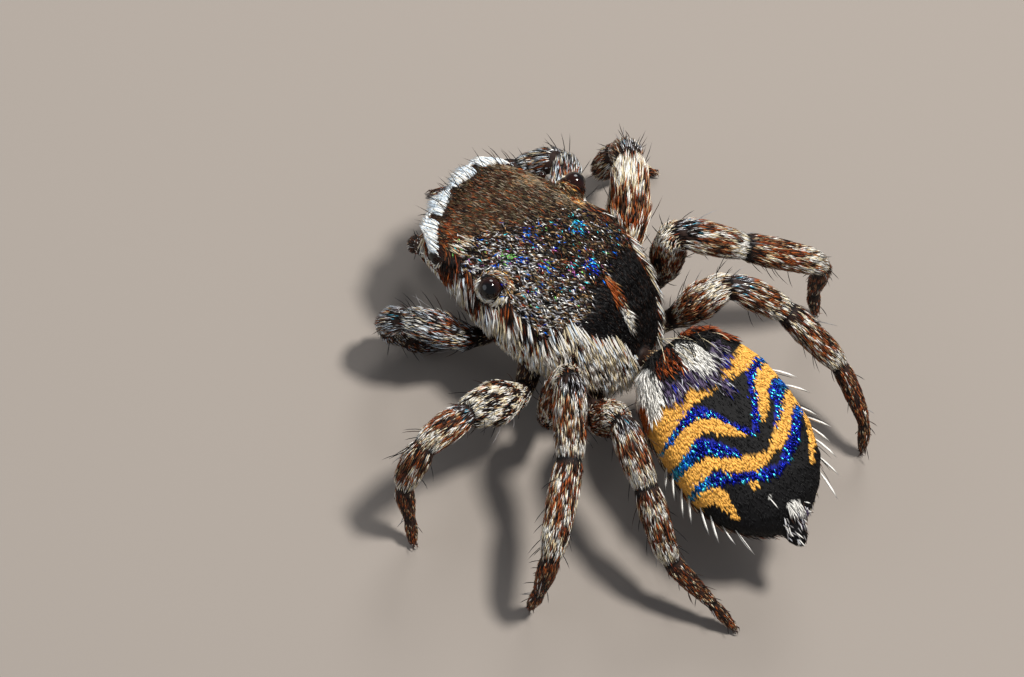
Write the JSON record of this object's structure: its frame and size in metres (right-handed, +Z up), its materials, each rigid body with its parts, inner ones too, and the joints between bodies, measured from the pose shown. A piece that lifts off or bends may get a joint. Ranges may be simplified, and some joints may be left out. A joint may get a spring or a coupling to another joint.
{
  "type": "peacock spider model",
  "caption": "Life-size still model of a male peacock jumping spider: domed head, big front eyes, oval banded abdomen and bent, bristly legs.",
  "frame": {"origin": "centre of the whole animal's box, at the floor under its feet", "axes": "-Y is the way the spider faces, +X is its left, +Z is up"},
  "size_m": [0.005, 0.0048, 0.0017],
  "materials": {
    "carapace": "dark brown skin with scales and short hair",
    "underside": "pale brown skin",
    "abdomen": "black velvet with yellow and blue bands",
    "eye": "glossy black lens",
    "leg": "mottled brown and cream hair"
  },
  "bodies": {
    "root": {"carapace": "carapace", "sternum": "underside", "pedicel": "underside", "abdomen": "abdomen", "spinnerets": "underside", "left_front_eye": "eye", "right_front_eye": "eye", "left_front_side_eye": "eye", "right_front_side_eye": "eye", "left_small_eye": "eye", "right_small_eye": "eye", "left_rear_eye": "eye", "right_rear_eye": "eye", "left_chelicera": "underside", "right_chelicera": "underside", "left_palp_arm": "leg", "left_palp_bulb": "leg", "right_palp_arm": "leg", "right_palp_bulb": "leg", "left_leg_1_femur": "leg", "left_leg_1_tibia": "leg", "left_leg_1_tarsus": "leg", "left_leg_2_femur": "leg", "left_leg_2_tibia": "leg", "left_leg_2_tarsus": "leg", "left_leg_3_femur": "leg", "left_leg_3_tibia": "leg", "left_leg_3_tarsus": "leg", "left_leg_4_femur": "leg", "left_leg_4_tibia": "leg", "left_leg_4_tarsus": "leg", "right_leg_1_femur": "leg", "right_leg_1_tibia": "leg", "right_leg_1_tarsus": "leg", "right_leg_2_femur": "leg", "right_leg_2_tibia": "leg", "right_leg_2_tarsus": "leg", "right_leg_3_femur": "leg", "right_leg_3_tibia": "leg", "right_leg_3_tarsus": "leg", "right_leg_4_femur": "leg", "right_leg_4_tibia": "leg", "right_leg_4_tarsus": "leg"}
  },
  "joints": []
}
